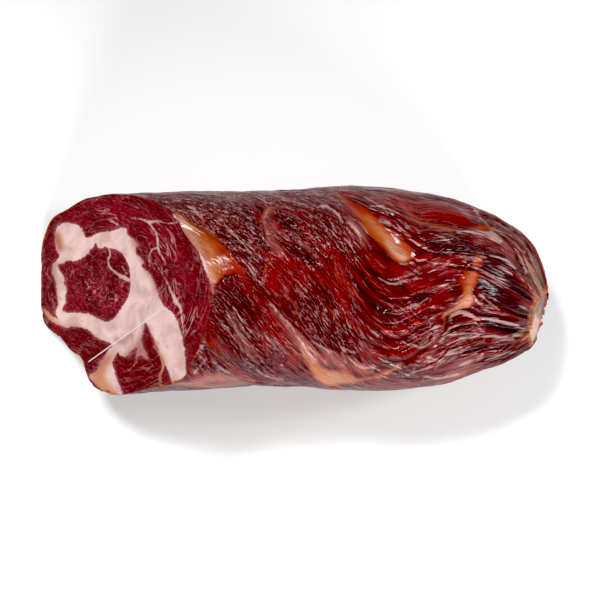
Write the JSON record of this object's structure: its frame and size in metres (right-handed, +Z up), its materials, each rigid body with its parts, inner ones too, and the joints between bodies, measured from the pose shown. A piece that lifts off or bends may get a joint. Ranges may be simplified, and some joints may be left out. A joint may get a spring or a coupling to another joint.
{
  "type": "cured pork neck sausage",
  "caption": "Half of a dry-cured pork neck, sawn off on the slant to show its marbled cut and gathered in pleats to a trimmed tip, lying on its side.",
  "frame": {"origin": "middle of the piece's box, on the surface that it lies on", "axes": "+X along the piece towards its pleated tip, +Y towards the far side of the piece, +Z up"},
  "size_m": [0.2044, 0.084, 0.0698],
  "materials": {
    "cured_meat": "thin dried skin, satin, with a moist marbled cut"
  },
  "bodies": {
    "root": {"neck_sausage": "cured_meat"}
  },
  "joints": []
}
